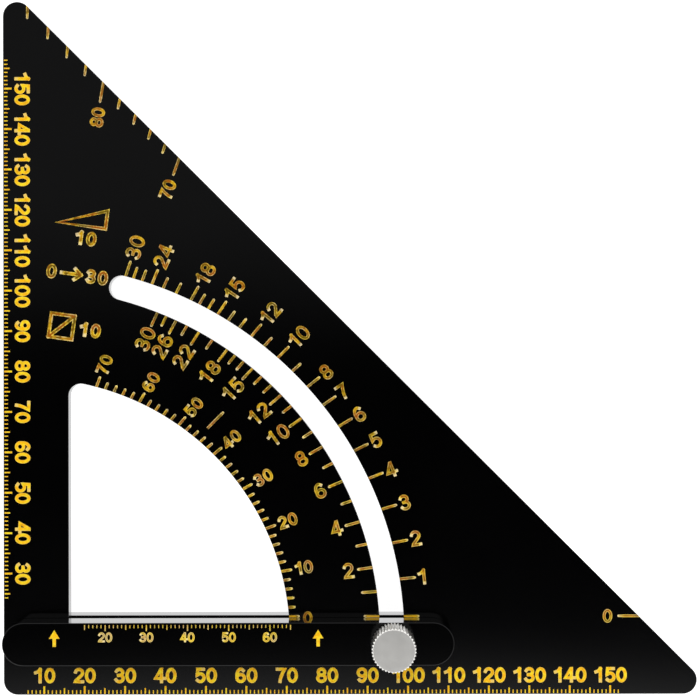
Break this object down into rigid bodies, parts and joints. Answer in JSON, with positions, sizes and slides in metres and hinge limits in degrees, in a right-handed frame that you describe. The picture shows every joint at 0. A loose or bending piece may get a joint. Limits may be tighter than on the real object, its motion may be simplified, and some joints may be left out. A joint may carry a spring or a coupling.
{
  "type": "adjustable set square",
  "caption": "Triangular plate square with a swinging two-bar fence, an arc slot and angle scales, locked by a knurled thumb nut.",
  "frame": {"origin": "on the fence's pivot axis, in the rear bar's outer face, which is the face the square lies on", "axes": "+Z points out of the numbered front face, +X runs along the plate's lower edge and the fence at zero degrees, +Y runs up the plate's left edge"},
  "size_m": [0.1714, 0.1715, 0.0228],
  "materials": {
    "anodised_plate": "black anodised, satin gloss",
    "anodised_bar": "black anodised, glossy",
    "turned_steel": "turned and knurled",
    "zinc_steel": "zinc plated",
    "washer_plastic": "natural"
  },
  "bodies": {
    "square": {"square_plate": "anodised_plate"},
    "fence": {"front_bar": "anodised_bar", "rear_bar": "anodised_bar", "pivot_rivet": "zinc_steel", "front_pivot_washer": "washer_plastic", "rear_pivot_washer": "washer_plastic", "clamp_bolt": "zinc_steel", "slot_sleeve": "zinc_steel"},
    "washer": {"knob_washer": "zinc_steel"},
    "knob": {"thumb_nut": "turned_steel"}
  },
  "joints": [
    {"name": "fence_swing", "type": "hinge", "parent": "square", "child": "fence", "pos_m": [0, 0, 0.0066], "axis": [0, 0, 1], "range_deg": [0, 75]},
    {"name": "washer_lift", "type": "slide", "parent": "fence", "child": "washer", "axis": [0, 0, 1], "range_m": [0, 0.00281]},
    {"name": "knob_turn", "type": "hinge", "parent": "washer", "child": "knob", "pos_m": [0.0899, 0, 0.01903], "axis": [0, 0, 1], "range_deg": [0, 1440]}
  ],
  "couplings": [
    {"joint": "washer_lift", "follows": "knob_turn", "m_per_rad": 0.00011141}
  ]
}
